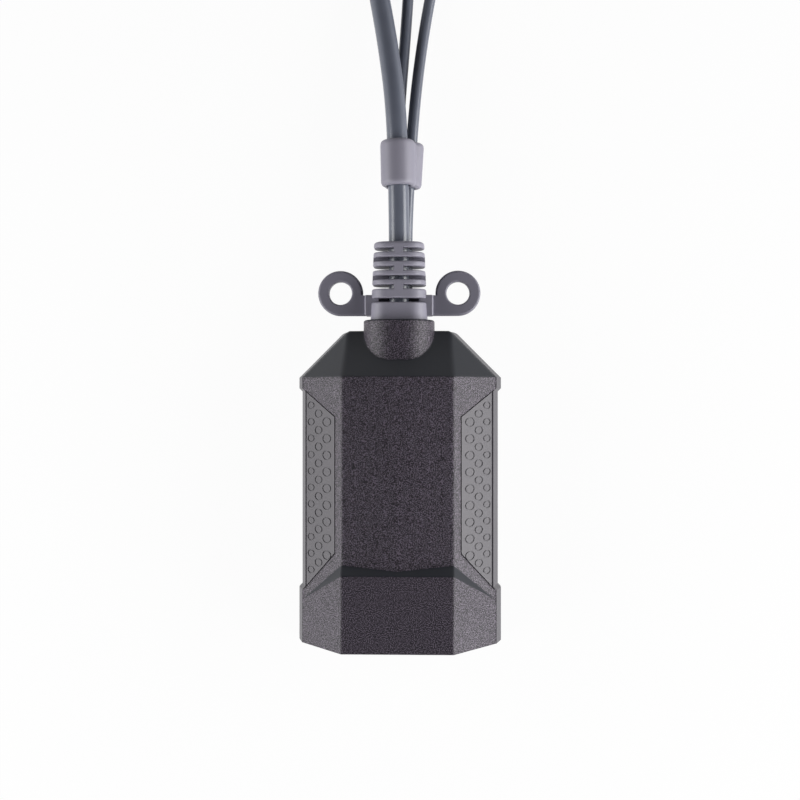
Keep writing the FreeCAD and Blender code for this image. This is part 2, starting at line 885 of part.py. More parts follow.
def section(half_width, half_height, chamfer):
    """A plug's section, with its two lower corners cut when it has a chamfer."""
    if chamfer == 0:
        corners = [(half_width, -half_height), (-half_width, -half_height)]
    else:
        corners = [
            (half_width, chamfer - half_height), (half_width - chamfer, -half_height),
            (chamfer - half_width, -half_height), (-half_width, chamfer - half_height),
        ]
    return [(-half_width, half_height), (half_width, half_height)] + corners


def plug_shell(place, width, height, chamfer, start, reach):
    """A sheet metal plug shell, open at the front."""
    outer = along_plug(section(width / 2, height / 2, chamfer), place, start, start + reach)
    wall = plug_shell_wall
    inner = section(width / 2 - wall, height / 2 - wall, chamfer)
    return outer.cut(along_plug(inner, place, start, start + reach))


def plug_core(place, width, height, chamfer, start, reach):
    """The moulded block that fills a plug's shell, before its slot is cut."""
    inset_all = plug_shell_wall + plug_core_clearance
    points = section(width / 2 - inset_all, height / 2 - inset_all, chamfer)
    return along_plug(points, place, start, start + reach - plug_core_setback)


def video_plug():
    """The video plug's grip, shell and core."""
    place = video_plug_place
    start = plug_neck_length + video_grip_length
    sizes = (place, video_shell_width, video_shell_height, video_shell_chamfer, start, video_shell_reach)
    core = plug_core(*sizes)
    slot = centred_box(
        (place.x, place.y + start + plug_core_base + video_shell_reach / 2),
        video_slot_width, video_shell_reach, place.z - video_slot_height / 2, video_slot_height,
    )
    return {
        "video_plug_grip": plug_grip(place, video_grip_width, video_grip_length, video_lead_radius),
        "video_plug_shell": plug_shell(*sizes),
        "video_plug_core": core.cut(slot),
    }


def usb_plug(letter):
    """A USB plug's grip, shell and core."""
    place = usb_plug_places[letter]
    start = plug_neck_length + usb_grip_length
    sizes = (place, usb_shell_width, usb_shell_height, 0, start, usb_shell_reach)
    shell = plug_shell(*sizes)
    for side in SIDES.values():
        across = place.x + side * usb_window_spacing / 2
        along = place.y + start + usb_shell_reach - usb_window_setback
        shell = shell.cut(centred_box((across, along), usb_window, usb_window, place.z, usb_shell_height))
    inside = usb_shell_height / 2 - plug_shell_wall - plug_core_clearance
    mouth = centred_box(
        (place.x, place.y + start + plug_core_base + usb_shell_reach / 2),
        usb_shell_width, usb_shell_reach, place.z - inside, 2 * inside - usb_tongue_height,
    )
    return {
        f"usb_plug_{letter}_grip": plug_grip(place, usb_grip_width, usb_grip_length, usb_lead_radius),
        f"usb_plug_{letter}_shell": shell,
        f"usb_plug_{letter}_core": plug_core(*sizes).cut(mouth),
    }


def main_board():
    """The board, narrow between the rear case bosses, with its screw holes."""
    neck_end = tray_wall + board_gap - port_end
    layer = (board_bottom, board_face)
    wide = box((-board_half_width, board_half_width), (board_neck_start, board_top), layer)
    neck = box((-board_neck_half_width, board_neck_half_width), (neck_end, board_neck_start), layer)
    solid = fuse([wide, neck])
    for x, y in board_screw_places():
        solid = solid.cut(Part.makeCylinder(board_hole_radius, board_face, Vector(x, y, 0)))
    return solid


def network_jack():
    """The network jack's body, its contacts and its two light windows."""
    front = jack_front
    jack_top = board_face + jack_height
    body = box((-jack_width / 2, jack_width / 2), (front, front + jack_depth), (board_face, jack_top))
    socket_along = (front, front + socket_depth)
    socket_top = socket_floor + socket_height
    half = socket_width / 2
    body = body.cut(box((-half, half), socket_along, (socket_floor, socket_top)))
    latch = latch_width / 2
    body = body.cut(box((-latch, latch), socket_along, (socket_floor - latch_height, socket_floor)))
    contacts = []
    for index in range(contact_count):
        middle = (index - (contact_count - 1) / 2) * contact_pitch
        contacts.append(box(
            (middle - contact_width / 2, middle + contact_width / 2),
            (front + socket_depth - contact_depth, front + socket_depth),
            (socket_top - contact_height, socket_top),
        ))
    lights = []
    light_top = jack_top - jack_light_top_gap
    for side in SIDES.values():
        middle = side * jack_light_half_spacing
        window = box(
            (middle - jack_light_width / 2, middle + jack_light_width / 2),
            (front, front + jack_light_depth),
            (light_top - jack_light_height, light_top),
        )
        lights.append(window)
        body = body.cut(window)
    return {"network_jack": body, "jack_contacts": group(contacts), "jack_lights": group(lights)}


def processor_stack():
    """The processor, its thermal pad and its finned heat sink."""
    pad_bottom = board_face + chip_height
    sink_bottom = pad_bottom + thermal_pad_height
    sink = centred_box(chip_place, sink_size, sink_size, sink_bottom, sink_height)
    gap = (sink_size - sink_fins * sink_fin_width) / (sink_fins - 1)
    for index in range(sink_fins - 1):
        start = chip_place[0] - sink_size / 2 + sink_fin_width + index * (sink_fin_width + gap)
        along = (chip_place[1] - sink_size, chip_place[1] + sink_size)
        fin_height = (sink_bottom + sink_base, sink_bottom + sink_height)
        sink = sink.cut(box((start, start + gap), along, fin_height))
    pad = thermal_pad_size
    return {
        "processor": centred_box(chip_place, chip_size, chip_size, board_face, chip_height),
        "thermal_pad": centred_box(chip_place, pad, pad, pad_bottom, thermal_pad_height),
        "heat_sink": sink,
    }


def board_parts():
    """The chips, coils, capacitors, headers and crimp housings on the board."""
    parts = {}
    for name, places in small_parts.items():
        solids = [
            centred_box((x, y), width, length, board_face, height) for x, y, width, length, height in places
        ]
        parts[name] = group(solids) if len(solids) > 1 else solids[0]
    parts["capacitors"] = group(
        Part.makeCylinder(capacitor_radius, capacitor_height, Vector(x, y, board_face))
        for x, y in capacitor_places
    )
    for name, (across, _) in tail_places.items():
        crimp_place = (across, crimp_back - crimp_depth / 2)
        header_place = (across, crimp_back - crimp_depth - header_depth / 2)
        port = name.replace("_lead", "")
        parts[port + "_header"] = centred_box(
            header_place, header_width, header_depth, board_face, header_height
        )
        parts[port + "_crimp_housing"] = centred_box(
            crimp_place, crimp_width, crimp_depth, board_face, crimp_height
        )
    return parts


def case_screws():
    """The four case screws, heads in the back's counterbores."""
    screws = []
    for x, y in case_screw_places():
        head = Part.makeCylinder(case_head_radius, case_head_height, Vector(x, y, case_head_recess))
        length = parting_height + case_thread_depth - screw_seat - screw_clearance
        shank = Part.makeCylinder(case_thread_radius, length, Vector(x, y, screw_seat))
        drive_top = case_head_recess + case_drive_depth
        long, thin = case_drive_length / 2, case_drive_width / 2
        screw = fuse([head, shank])
        for reach_x, reach_y in ((long, thin), (thin, long)):
            screw = screw.cut(box((x - reach_x, x + reach_x), (y - reach_y, y + reach_y), (0.0, drive_top)))
        screws.append(screw)
    return group(screws)


def board_screws():
    """The four screws that hold the board on its bosses."""
    screws = []
    for x, y in board_screw_places():
        head = Part.makeCylinder(board_head_radius, board_head_height, Vector(x, y, board_face))
        length = board_thickness + board_thread_depth - screw_clearance
        shank = Part.makeCylinder(board_thread_radius, length, Vector(x, y, board_face - length))
        screws.append(fuse([head, shank]))
    return group(screws)


def pieces():
    """Every piece of the adapter, by node name."""
    routes = lead_routes()
    nodes = {
        "upper_housing": upper_housing(),
        "lower_housing": lower_housing(),
        "left_grip": grip(SIDES["left"]),
        "right_grip": grip(SIDES["right"]),
        "strain_relief_boot": strain_relief_boot(),
        "bundle_sleeve": bundle_sleeve(routes),
        "main_board": main_board(),
        "case_screws": case_screws(),
        "board_screws": board_screws(),
    }
    nodes.update({name: tube(route, lead_radii[name]) for name, route in routes.items()})
    nodes.update(lead_tails())
    nodes.update(network_jack())
    nodes.update(processor_stack())
    nodes.update(board_parts())
    nodes.update(video_plug())
    for letter in usb_plug_places:
        nodes.update(usb_plug(letter))
    return nodes


def main():
    """Writes one STEP file for each node."""
    os.makedirs("parts", exist_ok=True)
    for name, shape in pieces().items():
        shape.exportStep(os.path.join("parts", name + ".step"))
        print(f"{name:24s} solids {len(shape.Solids)} volume {shape.Volume:10.1f} valid {shape.isValid()}")


main()
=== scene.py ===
"""A KVM over IP adapter: its finishes, sleeve, leads, plugs and contacts, lit as a product picture."""
import logging
import math
from dataclasses import dataclass
from enum import Enum
from typing import Any, Iterable, Sequence

import bmesh
import bpy
from mathutils import Matrix, Vector


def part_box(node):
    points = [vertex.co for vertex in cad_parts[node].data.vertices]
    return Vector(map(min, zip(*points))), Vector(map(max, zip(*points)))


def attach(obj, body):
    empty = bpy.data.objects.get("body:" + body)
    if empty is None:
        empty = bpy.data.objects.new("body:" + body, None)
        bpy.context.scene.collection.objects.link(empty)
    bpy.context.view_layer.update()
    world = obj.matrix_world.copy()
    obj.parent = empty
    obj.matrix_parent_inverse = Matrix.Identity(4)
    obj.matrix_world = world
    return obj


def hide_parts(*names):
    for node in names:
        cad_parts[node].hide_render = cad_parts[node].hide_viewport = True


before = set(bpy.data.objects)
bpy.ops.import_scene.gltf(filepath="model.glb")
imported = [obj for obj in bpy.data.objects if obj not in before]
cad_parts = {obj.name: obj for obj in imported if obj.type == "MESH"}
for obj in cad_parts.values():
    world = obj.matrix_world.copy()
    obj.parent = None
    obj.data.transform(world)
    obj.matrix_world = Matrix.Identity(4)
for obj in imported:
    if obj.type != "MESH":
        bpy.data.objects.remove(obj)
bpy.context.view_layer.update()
LOG = logging.getLogger("adapter")

MM = 0.001
BODY = "root"
MERGE_DISTANCE = 1e-7


def linear(colour: str) -> tuple[float, float, float, float]:
    """Turns an sRGB hex colour into a linear one.

    Args:
        colour: Six hex digits after a hash.

    Returns:
        Red, green, blue and alpha for a shader socket.
    """
    channels = [int(colour[start:start + 2], 16) / 255 for start in (1, 3, 5)]
    curve = [value / 12.92 if value <= 0.04045 else ((value + 0.055) / 1.055) ** 2.4 for value in channels]
    return curve[0], curve[1], curve[2], 1.0


def add_node(
    tree: bpy.types.NodeTree,
    kind: str,
    settings: dict[str, Any] | None = None,
    inputs: dict[Any, Any] | None = None,
) -> bpy.types.Node:
    """Adds one node with its settings, values and links.

    Args:
        tree: The node tree that takes the node.
        kind: The node's type.
        settings: Properties of the node, by name.
        inputs: What each input socket takes, by name or place: an output socket or a value.

    Returns:
        The new node.
    """
    node = tree.nodes.new(kind)
    for name, value in (settings or {}).items():
        setattr(node, name, value)
    for key, value in (inputs or {}).items():
        if isinstance(value, bpy.types.NodeSocket):
            tree.links.new(value, node.inputs[key])
        else:
            node.inputs[key].default_value = value
    return node


def per_metre(size_mm: float) -> float:
    """The texture scale at which one cell of a pattern is that many millimetres wide."""
    return 1.0 / (size_mm * MM)


# The output sockets of a node, by name
Sockets = bpy.types.bpy_prop_collection


@dataclass(frozen=True)
class Finish:
    """A surface: what it is made of, and what that gives the eye."""

    name: str
    colour: str
    roughness: float
    ior: float = 1.5
    metallic: float = 0.0

    def build(self) -> bpy.types.Material:
        """Makes the material.

        Returns:
            A material with this finish's colour, gloss and fine detail.
        """
        material = bpy.data.materials.new(self.name)
        material.use_nodes = True
        tree = material.node_tree
        tree.nodes.clear()
        shader = add_node(tree, "ShaderNodeBsdfPrincipled", inputs={
            "Base Color": linear(self.colour),
            "Roughness": self.roughness,
            "IOR": self.ior,
            "Metallic": self.metallic,
        })
        add_node(tree, "ShaderNodeOutputMaterial", inputs={"Surface": shader.outputs["BSDF"]})
        self.detail(tree, shader, add_node(tree, "ShaderNodeTexCoord").outputs)
        return material

    def detail(self, tree: bpy.types.NodeTree, shader: bpy.types.Node, where: Sockets) -> None:
        """Adds the fine detail of this kind of surface.

        Args:
            tree: The material's nodes.
            shader: The surface shader.
            where: The texture coordinates.
        """


@dataclass(frozen=True)
class SparkErodedPlastic(Finish):
    """ABS from a spark-eroded mould: sandy grain, with the faces towards the leads left polished and given a
    darker colour as painted shade.
    """

    fleck: str = "#4A464C"
    fleck_range: tuple[float, float] = (0.46, 0.6)
    # Painted shade: the faces turned towards the leads, away from the lamps, take this darker colour
    polished_painted_shade: str = "#161921"
    polished_roughness: float = 0.4
    polish_and_shade_turn: tuple[float, float] = (0.34, 0.4)
    # The real grain is nearer 0.1 mm: it is drawn this coarse so that it shows
    grain_mm: float = 0.3
    grain_height_mm: float = 0.15
    grain_detail: float = 1.0
    gloss_range: tuple[float, float] = (0.3, 0.7)
    gloss_spread: float = 0.1
    edge_mm: float = 1.0

    def detail(self, tree: bpy.types.NodeTree, shader: bpy.types.Node, where: Sockets) -> None:
        """Adds the grain as bump, flecks and uneven gloss, and softens the edges; polished faces stay plain
        and take a painted shade.

        Args:
            tree: The material's nodes.
            shader: The surface shader.
            where: The texture coordinates.
        """
        towards_leads = add_node(tree, "ShaderNodeSeparateXYZ", inputs={0: where["Normal"]}).outputs["Y"]
        polish_and_shade = add_node(tree, "ShaderNodeMapRange", inputs={
            "Value": towards_leads, "From Min": self.polish_and_shade_turn[0], "From Max": self.polish_and_shade_turn[1],
        }).outputs["Result"]
        grain = add_node(tree, "ShaderNodeTexNoise", inputs={
            "Vector": where["Object"], "Scale": per_metre(self.grain_mm), "Detail": self.grain_detail,
        }).outputs["Fac"]
        flecks = add_node(tree, "ShaderNodeMapRange", inputs={
            "Value": grain, "From Min": self.fleck_range[0], "From Max": self.fleck_range[1],
        }).outputs["Result"]
        grained = add_node(tree, "ShaderNodeMix", {"data_type": "RGBA"}, {
            0: flecks, 6: linear(self.colour), 7: linear(self.fleck),
        }).outputs[2]
        # Painted shade: the faces towards the leads take the darker colour in place of the grain
        mixed = add_node(tree, "ShaderNodeMix", {"data_type": "RGBA"}, {
            0: polish_and_shade, 6: grained, 7: linear(self.polished_painted_shade),
        }).outputs[2]
        gloss = add_node(tree, "ShaderNodeMapRange", inputs={
            "Value": grain, "From Min": self.gloss_range[0], "From Max": self.gloss_range[1],
            "To Min": self.roughness + self.gloss_spread, "To Max": self.roughness - self.gloss_spread,
        }).outputs["Result"]
        mixed_gloss = add_node(tree, "ShaderNodeMix", inputs={
            0: polish_and_shade, 2: gloss, 3: self.polished_roughness,
        }).outputs[0]
        relief = add_node(tree, "ShaderNodeMapRange", inputs={
            "Value": polish_and_shade, "To Min": 1.0, "To Max": 0.0,
        }).outputs["Result"]
        soft_edges = add_node(tree, "ShaderNodeBevel", inputs={"Radius": self.edge_mm * MM}).outputs["Normal"]
        bump = add_node(tree, "ShaderNodeBump", inputs={
            "Height": grain, "Strength": relief, "Distance": self.grain_height_mm * MM, "Normal": soft_edges,
        }).outputs["Normal"]
        tree.links.new(mixed, shader.inputs["Base Color"])
        tree.links.new(mixed_gloss, shader.inputs["Roughness"])
        tree.links.new(bump, shader.inputs["Normal"])


@dataclass(frozen=True)
class SmoothMoulding(Finish):
    """Plastic or vinyl from a satin mould: faint clouds of colour and a very fine tooth."""

    cloud: str = "#808080"
    cloud_mm: float = 6.0
    cloud_detail: float = 4.0
    cloud_roughness: float = 0.55
    # The real tooth is nearer 0.05 mm: it is drawn this coarse so that it shows
    tooth_mm: float = 0.25
    tooth_height_mm: float = 0.004
    tooth_detail: float = 1.0

    def detail(self, tree: bpy.types.NodeTree, shader: bpy.types.Node, where: Sockets) -> None:
        """Adds the clouds and the tooth.

        Args:
            tree: The material's nodes.
            shader: The surface shader.
            where: The texture coordinates.
        """
        clouds = add_node(tree, "ShaderNodeTexNoise", inputs={
            "Vector": where["Object"], "Scale": per_metre(self.cloud_mm),
            "Detail": self.cloud_detail, "Roughness": self.cloud_roughness,
        }).outputs["Fac"]
        mixed = add_node(tree, "ShaderNodeMix", {"data_type": "RGBA"}, {
            0: clouds, 6: linear(self.colour), 7: linear(self.cloud),
        }).outputs[2]
        tooth = add_node(tree, "ShaderNodeTexNoise", inputs={
            "Vector": where["Object"], "Scale": per_metre(self.tooth_mm), "Detail": self.tooth_detail,
        }).outputs["Fac"]
        bump = add_node(tree, "ShaderNodeBump", inputs={
            "Height": tooth, "Distance": self.tooth_height_mm * MM,
        }).outputs["Normal"]
        tree.links.new(mixed, shader.inputs["Base Color"])
        tree.links.new(bump, shader.inputs["Normal"])


@dataclass(frozen=True)
class BootVinyl(SmoothMoulding):
    """Soft moulded vinyl whose thin eyelet plates are coloured darker than the thick ribs."""

    plate: str = "#72707C"
    plate_start_mm: float = 10.1
    plate_blend_mm: float = 0.2

    def detail(self, tree: bpy.types.NodeTree, shader: bpy.types.Node, where: Sockets) -> None:
        """Adds the clouds and the tooth, then the darker plates.

        Args:
            tree: The material's nodes.
            shader: The surface shader.
            where: The texture coordinates.
        """
        super().detail(tree, shader, where)
        across = add_node(tree, "ShaderNodeSeparateXYZ", inputs={0: where["Object"]}).outputs["X"]
        distance = add_node(tree, "ShaderNodeMath", {"operation": "ABSOLUTE"}, {0: across}).outputs["Value"]
        plates = add_node(tree, "ShaderNodeMapRange", inputs={
            "Value": distance, "From Min": self.plate_start_mm * MM,
            "From Max": (self.plate_start_mm + self.plate_blend_mm) * MM,
        }).outputs["Result"]
        thick = shader.inputs["Base Color"].links[0].from_socket
        mixed = add_node(tree, "ShaderNodeMix", {"data_type": "RGBA"}, {
            0: plates, 6: thick, 7: linear(self.plate),
        }).outputs[2]
        tree.links.new(mixed, shader.inputs["Base Color"])


@dataclass(frozen=True)
class DrawnMetal(Finish):
    """Rolled or drawn metal: faint lines along the part that stretch its highlights."""

    # The real lines are nearer 0.03 mm apart: they are drawn this coarse so that they show
    line_mm: float = 0.12
    line_height_mm: float = 0.002
    line_detail: float = 3.0
    stretch: float = 30.0
    gloss_range: tuple[float, float] = (0.3, 0.7)
    gloss_spread: float = 0.1

    def detail(self, tree: bpy.types.NodeTree, shader: bpy.types.Node, where: Sockets) -> None:
        """Adds the drawing lines as uneven gloss and bump.

        Args:
            tree: The material's nodes.
            shader: The surface shader.
            where: The texture coordinates.
        """
        stretched = add_node(tree, "ShaderNodeMapping", inputs={
            "Vector": where["Object"], "Scale": (1.0, 1.0 / self.stretch, 1.0),
        }).outputs["Vector"]
        lines = add_node(tree, "ShaderNodeTexNoise", inputs={
            "Vector": stretched, "Scale": per_metre(self.line_mm), "Detail": self.line_detail,
        }).outputs["Fac"]
        gloss = add_node(tree, "ShaderNodeMapRange", inputs={
            "Value": lines, "From Min": self.gloss_range[0], "From Max": self.gloss_range[1],
            "To Min": self.roughness - self.gloss_spread, "To Max": self.roughness + self.gloss_spread,
        }).outputs["Result"]
        bump = add_node(tree, "ShaderNodeBump", inputs={
            "Height": lines, "Distance": self.line_height_mm * MM,
        }).outputs["Normal"]
        tree.links.new(gloss, shader.inputs["Roughness"])
        tree.links.new(bump, shader.inputs["Normal"])


@dataclass(frozen=True)
class SolderMask(Finish):
    """A glass-fibre board under solder mask: paler tracks and tinned dots on green."""

    track: str = "#2F7A48"
    pad: str = "#C9CCC8"
    track_mm: float = 1.6
    track_edge: float = 0.55
    pad_mm: float = 2.4
    pad_radius: float = 0.13
    pad_scatter: float = 0.8

    def detail(self, tree: bpy.types.NodeTree, shader: bpy.types.Node, where: Sockets) -> None:
        """Adds the tracks and the dots.

        Args:
            tree: The material's nodes.
            shader: The surface shader.
            where: The texture coordinates.
        """
        cells = add_node(tree, "ShaderNodeTexVoronoi", {"distance": "CHEBYCHEV"}, {
            "Vector": where["Object"], "Scale": per_metre(self.track_mm),
        }).outputs["Distance"]
        tracks = add_node(tree, "ShaderNodeMath", {"operation": "GREATER_THAN"}, {
            0: cells, 1: self.track_edge,
        }).outputs["Value"]
        dots = add_node(tree, "ShaderNodeTexVoronoi", inputs={
            "Vector": where["Object"], "Scale": per_metre(self.pad_mm), "Randomness": self.pad_scatter,
        }).outputs["Distance"]
        pads = add_node(tree, "ShaderNodeMath", {"operation": "LESS_THAN"}, {
            0: dots, 1: self.pad_radius,
        }).outputs["Value"]
        green = add_node(tree, "ShaderNodeMix", {"data_type": "RGBA"}, {
            0: tracks, 6: linear(self.colour), 7: linear(self.track),
        }).outputs[2]
        mixed = add_node(tree, "ShaderNodeMix", {"data_type": "RGBA"}, {
            0: pads, 6: green, 7: linear(self.pad),
        }).outputs[2]
        tree.links.new(mixed, shader.inputs["Base Color"])


@dataclass(frozen=True)
class ClearWindow(SmoothMoulding):
    """A milky polycarbonate light pipe: light passes in and scatters."""

    transmission: float = 0.6

    def detail(self, tree: bpy.types.NodeTree, shader: bpy.types.Node, where: Sockets) -> None:
        """Adds the clouds, and lets light through."""
        super().detail(tree, shader, where)
        shader.inputs["Transmission Weight"].default_value = self.transmission


class Surface(Enum):
    """The adapter's finishes."""

    # ABS from a spark-eroded mould: near-black, with a sandy sparkle; polished on the nose, whose darker
    # colour there is painted shade
    COVER = SparkErodedPlastic("spark_eroded_abs", "#141118", 0.4, 1.4, fleck="#5D5561")
    # ABS from a plain satin mould: even, and paler where light grazes it
    TRAY = SmoothMoulding("satin_abs", "#3B383E", 0.42, cloud="#413E44")
    # ABS from another satin mould: a little duller
    GRIP = SmoothMoulding("satin_grip_abs", "#3C393F", 0.45, cloud="#423E44")
    # Soft vinyl, moulded: violet grey, satin
    BOOT = BootVinyl("moulded_vinyl", "#7E7C88", 0.5, cloud="#868390")
    # Soft vinyl, extruded: bluish grey, with a tighter highlight than the moulded pieces
    LEAD = SmoothMoulding("extruded_vinyl", "#5B5F6B", 0.27, cloud="#626672")
    # Vinyl moulded over the plugs: darker and duller than the boot
    PLUG_GRIP = SmoothMoulding("plug_vinyl", "#5C5A65", 0.5, cloud="#64626D")
    # Nickel-plated steel: bright, a little warm, with drawing lines
    NICKEL = DrawnMetal("nickel_plated_steel", "#C9C5BD", 0.24, metallic=1.0)
    # Zinc-plated steel: a cooler and softer shine
    ZINC = DrawnMetal("zinc_plated_steel", "#B9BBBE", 0.32, metallic=1.0)
    # Gold plating over nickel: a clear yellow shine
    GOLD = DrawnMetal("gold_plated_contact", "#D9B36A", 0.22, metallic=1.0)
    # Anodised aluminium: mid grey, with a soft shine
    ALUMINIUM = DrawnMetal("anodised_aluminium", "#8D9095", 0.4, metallic=1.0)
    # Drawn aluminium: pale and fairly bright
    CAN = DrawnMetal("drawn_aluminium_can", "#B7B9BB", 0.3, metallic=1.0)
    # Glass-filled nylon: black, slightly dull
    BLACK_NYLON = SmoothMoulding("black_nylon", "#1E1E20", 0.5, cloud="#252527")
    # Unfilled nylon: ivory, satin
    IVORY_NYLON = SmoothMoulding("ivory_nylon", "#D8D2BE", 0.45, cloud="#DED9C8")
    # Moulded epoxy: charcoal, matt
    EPOXY = SmoothMoulding("moulded_epoxy", "#202022", 0.55, cloud="#28282A")
    # Soft silicone: pale violet grey, dull
    SILICONE = SmoothMoulding("silicone_pad", "#A9A9B8", 0.6, cloud="#B2B2C0")
    # Glass fibre under solder mask: green and glossy, with paler tracks
    BOARD = SolderMask("solder_mask", "#1D5A33", 0.35)
    # Polycarbonate: milky, and lets light in
    WINDOW = ClearWindow("milky_polycarbonate", "#E4E0CE", 0.3, cloud="#EFEBDC")


class Palette:
    """Makes each finish's material once."""

    def __init__(self) -> None:
        """Starts with no materials made."""
        self.made: dict[Surface, bpy.types.Material] = {}

    def material(self, surface: Surface) -> bpy.types.Material:
        """The material of a finish, made when first asked for.

        Args:
            surface: The finish.

        Returns:
            Its material.
        """
        if surface not in self.made:
            self.made[surface] = surface.value.build()
        return self.made[surface]

    def dress_node(self, name: str, surface: Surface) -> None:
        """Gives a CAD node a finish.

        Args:
            name: The CAD node.
            surface: Its finish.
        """
        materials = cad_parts[name].data.materials
        materials.clear()
        materials.append(self.material(surface))
        LOG.info("node %s: %s", name, surface.value.name)

    def place_piece(
        self, data: bpy.types.ID, name: str, surface: Surface, nodes: Iterable[str] = ()
    ) -> bpy.types.Object:
        """Puts a new piece into the scene, on the adapter's body.

        Args:
            data: The piece's mesh or curve, in place.
            name: The piece's name.
            surface: Its finish.
            nodes: CAD nodes that it stands for.

        Returns:
            The piece's object.
        """
        piece = bpy.data.objects.new(name, data)
        data.materials.append(self.material(surface))
        bpy.context.scene.collection.objects.link(piece)
        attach(piece, BODY)
        if nodes:
            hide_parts(*nodes)
        LOG.info("piece %s: %s", name, surface.value.name)
        return piece


def finished_mesh(shape: bmesh.types.BMesh, name: str, sharp_deg: float = 40.0) -> bpy.types.Mesh:
    """Turns a bmesh into a mesh that is smooth across its gentle edges.

    Args:
        shape: The shape, which is freed.
        name: The mesh's name.
        sharp_deg: Edges that turn by more than this stay sharp.

    Returns:
        The mesh.
    """
    mesh = bpy.data.meshes.new(name)
    shape.to_mesh(mesh)
    shape.free()
    mesh.shade_smooth()
    mesh.set_sharp_from_angle(angle=math.radians(sharp_deg))
    return mesh


class Housing:
    """The cover, the tray, the grips and the screws."""

    finishes: dict[str, Surface] = {
        "upper_housing": Surface.COVER,
        "lower_housing": Surface.TRAY,
        "left_grip": Surface.GRIP,
        "right_grip": Surface.GRIP,
        "case_screws": Surface.ZINC,
    }

    def build(self, palette: Palette) -> None:
        """Dresses the housing's pieces."""
        for node, surface in self.finishes.items():
            palette.dress_node(node, surface)


@dataclass
class CableExit:
    """The strain relief boot and the sleeve round the leads."""

    skin_mm: float = 0.3
    softening: int = 14
    softening_step: float = 0.5
    smooth_all_over_deg: float = 180.0

    def build(self, palette: Palette) -> bpy.types.Object:
        """Dresses the boot, and makes the sleeve."""
        palette.dress_node("strain_relief_boot", Surface.BOOT)
        return self.sleeve(palette)

    def sleeve(self, palette: Palette) -> bpy.types.Object:
        """Makes the sleeve: its lobes run together under one soft skin.

        Args:
            palette: Where the finish comes from.

        Returns:
            The sleeve.
        """
        shape = bmesh.new()
        shape.from_mesh(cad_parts["bundle_sleeve"].data)
        bmesh.ops.remove_doubles(shape, verts=shape.verts, dist=MERGE_DISTANCE)
        mesh = finished_mesh(shape, "lead_sleeve", self.smooth_all_over_deg)
        piece = palette.place_piece(mesh, "lead_sleeve", Surface.BOOT, ["bundle_sleeve"])
        skin = piece.modifiers.new("one_skin", "REMESH")
        skin.mode = "VOXEL"
        skin.voxel_size = self.skin_mm * MM
        skin.use_smooth_shade = True
        soft = piece.modifiers.new("soft_lobes", "SMOOTH")
        soft.factor = self.softening_step
        soft.iterations = self.softening
        return piece


@dataclass
class Lead:
    """One lead from the boot's tip to its plug."""

    node: str
    length_mm: float
    route_mm: Sequence[tuple[float, float, float]]
    diameter_mm: float = 3.4
    order: int = 3
    resolution: int = 16
    roundness: int = 8

    def build(self, palette: Palette, on_it: Sequence[bpy.types.Object]) -> bpy.types.Object:
        """Makes the lead as one smooth curve.

        Args:
            palette: Where the finish comes from.
            on_it: The pieces on the lead; not used.

        Returns:
            The lead.
        """
        curve = bpy.data.curves.new(f"{self.node}_line", "CURVE")
        curve.dimensions = "3D"
        curve.bevel_depth = self.diameter_mm / 2 * MM
        curve.bevel_resolution = self.roundness
        curve.use_fill_caps = True
        spline = curve.splines.new("NURBS")
        spline.points.add(len(self.route_mm) - 1)
        for point, place in zip(spline.points, self.route_mm):
            point.co = (*(value * MM for value in place), 1.0)
        spline.order_u = self.order
        spline.use_endpoint_u = True
        spline.resolution_u = self.resolution
        piece = palette.place_piece(curve, f"{self.node}_cord", Surface.LEAD, [self.node])
        return piece


LEADS = (
    Lead("video_lead", 159.7, (
        (0.0, 73.1, 11.9), (0.0, 81.1, 11.9), (-0.7, 112.0, 11.0), (-3.6, 134.0, 6.6), (-7.4, 155.0, 3.1),
        (-12.8, 176.0, 3.1), (-18.6, 198.0, 3.3), (-21.0, 217.4, 5.25), (-21.0, 230.0, 5.25),
    ), diameter_mm=6.2),
    Lead("usb_lead_a", 161.4, (
        (-1.25, 73.1, 7.2449), (-1.25, 81.1, 7.2449), (-0.3, 112.0, 5.6), (1.4, 134.0, 2.6),
        (2.8, 155.0, 1.7), (3.3, 177.0, 1.7), (2.5, 200.0, 1.9), (0.9, 221.4, 4.1), (0.9, 234.0, 4.1),
    )),
    Lead("usb_lead_b", 154.6, (
        (2.2, 73.1, 7.6114), (2.2, 81.1, 7.6114), (4.1, 112.0, 6.4), (6.4, 133.0, 3.2), (9.8, 153.0, 1.7),
        (14.2, 173.0, 1.7), (18.2, 194.0, 1.8), (19.8, 213.4, 4.1), (19.8, 226.0, 4.1),
    )),
)


